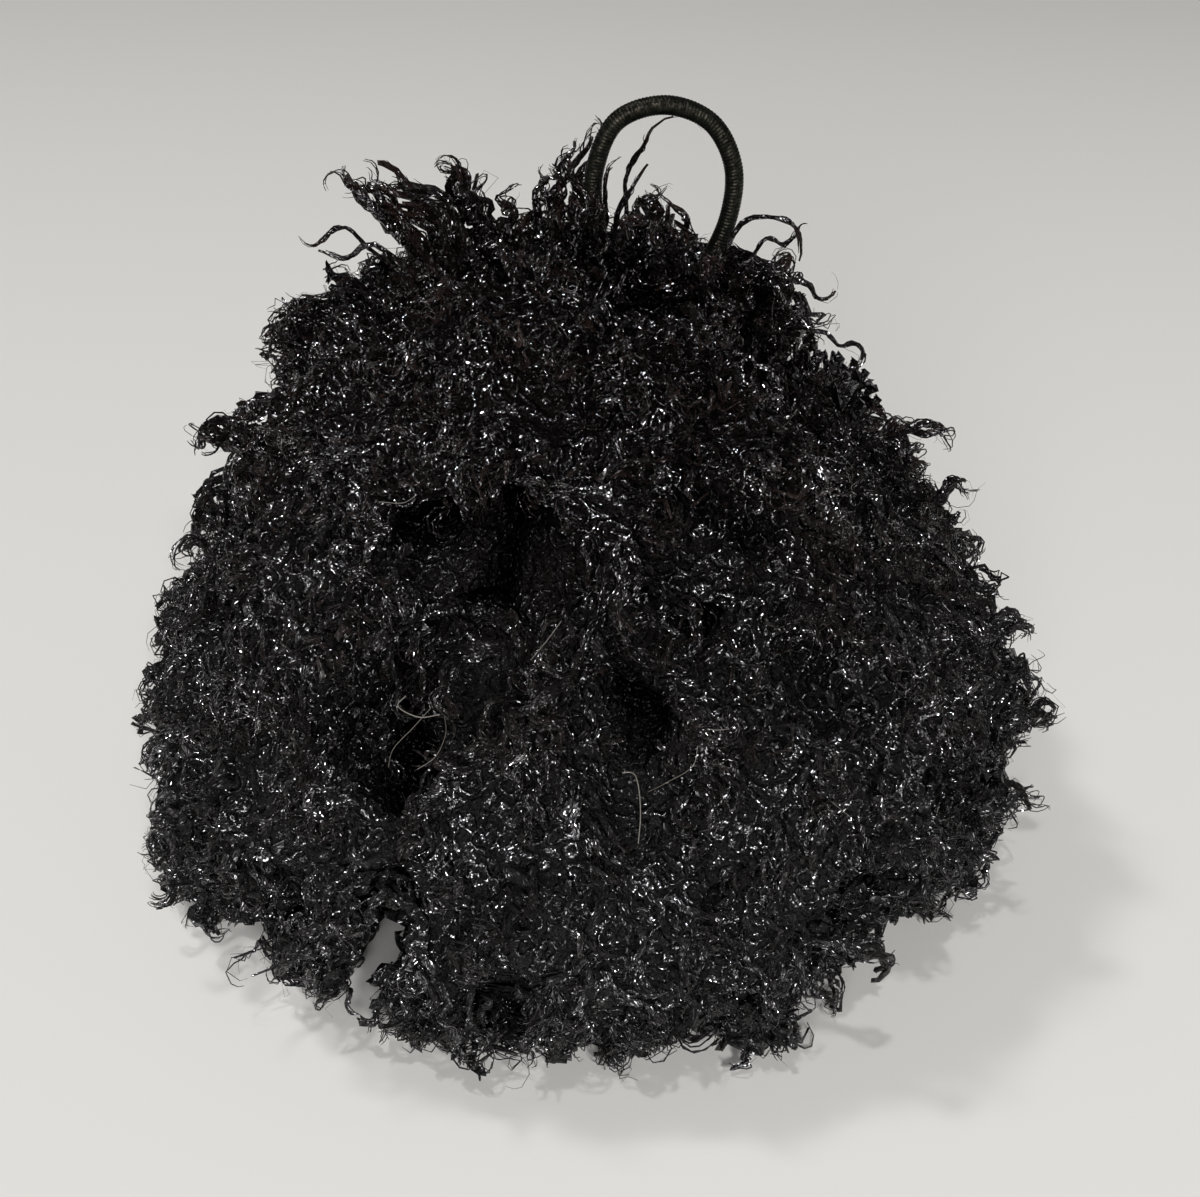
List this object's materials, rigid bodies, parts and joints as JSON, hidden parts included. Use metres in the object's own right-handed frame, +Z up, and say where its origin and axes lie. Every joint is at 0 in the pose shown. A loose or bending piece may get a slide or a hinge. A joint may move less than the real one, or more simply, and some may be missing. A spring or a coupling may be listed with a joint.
{
  "type": "faux fur pom pom",
  "caption": "Black curly faux fur pom pom: a dome of long pile on a flattened underside, with a loop of covered round elastic standing from the gather at its crown.",
  "frame": {"origin": "under the middle of the pom pom's box, on the surface that it rests on", "axes": "+Z up from the flattened underside to the crown; -Y is the front, and the elastic's loop lies in a plane across it, along X"},
  "size_m": [0.1432, 0.1388, 0.1095],
  "materials": {
    "fur": "curly glossy synthetic pile",
    "elastic": "thread-covered round elastic"
  },
  "bodies": {
    "root": {"fur_ball": "fur", "elastic_loop": "elastic"}
  },
  "joints": []
}
